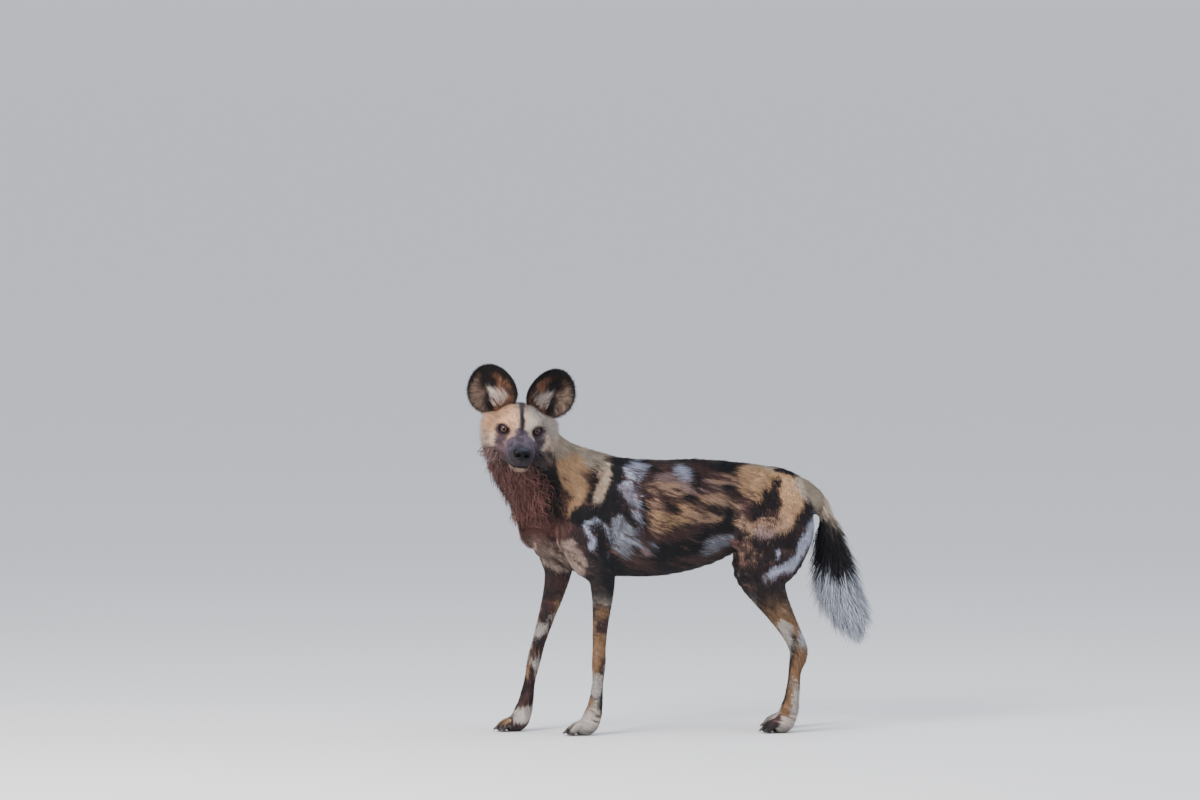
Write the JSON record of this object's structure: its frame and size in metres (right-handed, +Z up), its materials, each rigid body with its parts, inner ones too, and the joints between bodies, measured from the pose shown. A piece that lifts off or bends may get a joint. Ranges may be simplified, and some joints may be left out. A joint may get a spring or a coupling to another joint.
{
  "type": "african wild dog",
  "caption": "Life-size African wild dog standing at ease, its head turned back over its left shoulder, with round cupped ears, a shaggy throat and a bushy tail.",
  "frame": {"origin": "on the floor, under the middle of the whole animal's bounding box", "axes": "+Z up, +X towards the tail, -X the way the trunk faces, -Y the dog's left side, which the picture shows"},
  "size_m": [1.013, 0.3704, 0.9096],
  "materials": {
    "coat_trunk": "short coarse fur, tawny, black and white patches",
    "coat_throat": "matted long fur, dark reddish brown",
    "coat_face": "short dense fur, buff with a dark muzzle",
    "coat_ears": "thin short fur, black rimmed, tan inside",
    "coat_legs": "short fur, near black with pale marks",
    "tail_plume": "long loose fur, white",
    "nose_skin": "bare moist skin, black",
    "eyes": "wet gloss, amber brown"
  },
  "bodies": {
    "root": {"torso": "coat_trunk", "neck": "coat_throat", "head": "coat_face", "jaw": "coat_face", "nose": "nose_skin", "eye_left": "eyes", "eye_right": "eyes", "ear_left": "coat_ears", "ear_right": "coat_ears", "foreleg_left": "coat_legs", "foreleg_right": "coat_legs", "hindleg_left": "coat_legs", "hindleg_right": "coat_legs", "forepaw_left": "coat_legs", "forepaw_right": "coat_legs", "hindpaw_left": "coat_legs", "hindpaw_right": "coat_legs", "tail": "coat_legs", "tail_tip": "tail_plume"}
  },
  "joints": []
}
